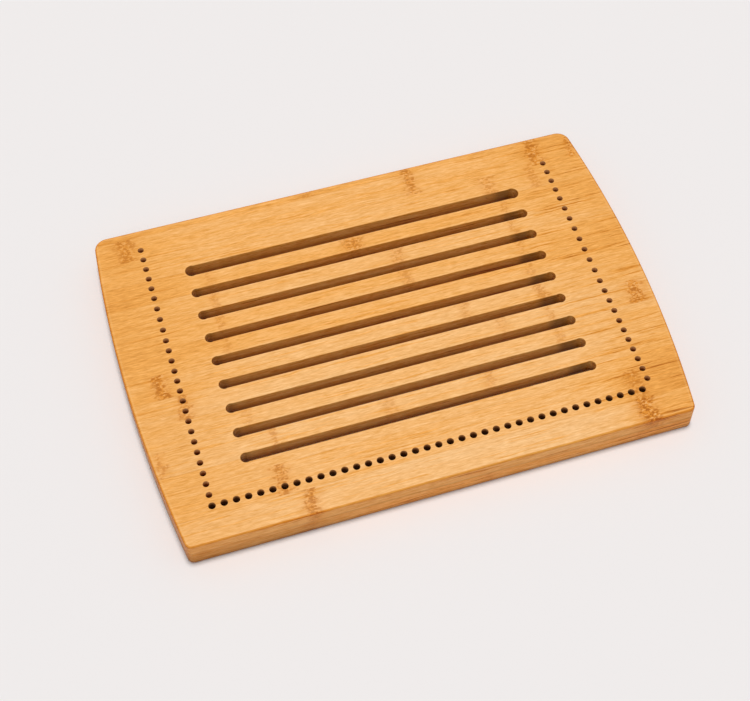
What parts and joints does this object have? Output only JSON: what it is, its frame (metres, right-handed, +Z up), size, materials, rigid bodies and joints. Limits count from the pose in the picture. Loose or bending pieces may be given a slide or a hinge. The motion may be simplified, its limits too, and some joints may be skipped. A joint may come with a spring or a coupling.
{
  "type": "bread board",
  "caption": "Bamboo bread board with bowed ends, long crumb slots and a border of drilled holes over an open crumb space.",
  "frame": {"origin": "middle of the underside, where the board rests on the table", "axes": "+X along the board to the right, +Y to the back, +Z up out of the cutting face"},
  "size_m": [0.4, 0.275, 0.024],
  "materials": {
    "bamboo_top": "satin",
    "bamboo_rail": "satin",
    "bamboo_block": "satin"
  },
  "bodies": {
    "root": {"base_back_rail": "bamboo_rail", "base_front_rail": "bamboo_rail", "base_left_block_01": "bamboo_block", "base_left_block_02": "bamboo_block", "base_left_block_03": "bamboo_block", "base_left_block_04": "bamboo_block", "base_left_block_05": "bamboo_block", "base_left_block_06": "bamboo_block", "base_left_block_07": "bamboo_block", "base_left_block_08": "bamboo_block", "base_left_block_09": "bamboo_block", "base_left_block_10": "bamboo_block", "base_left_block_11": "bamboo_block", "base_right_block_01": "bamboo_block", "base_right_block_02": "bamboo_block", "base_right_block_03": "bamboo_block", "base_right_block_04": "bamboo_block", "base_right_block_05": "bamboo_block", "base_right_block_06": "bamboo_block", "base_right_block_07": "bamboo_block", "base_right_block_08": "bamboo_block", "base_right_block_09": "bamboo_block", "base_right_block_10": "bamboo_block", "base_right_block_11": "bamboo_block", "top_back_edge_strip": "bamboo_top", "top_back_strip_1": "bamboo_top", "top_back_strip_2": "bamboo_top", "top_front_strip": "bamboo_top", "top_hole_row_strip": "bamboo_top", "top_narrow_strip": "bamboo_top", "top_slat_1": "bamboo_top", "top_slat_2": "bamboo_top", "top_slat_3": "bamboo_top", "top_slat_4": "bamboo_top", "top_slat_5": "bamboo_top", "top_slat_6": "bamboo_top", "top_slat_7": "bamboo_top", "top_slat_8": "bamboo_top"}
  },
  "joints": []
}
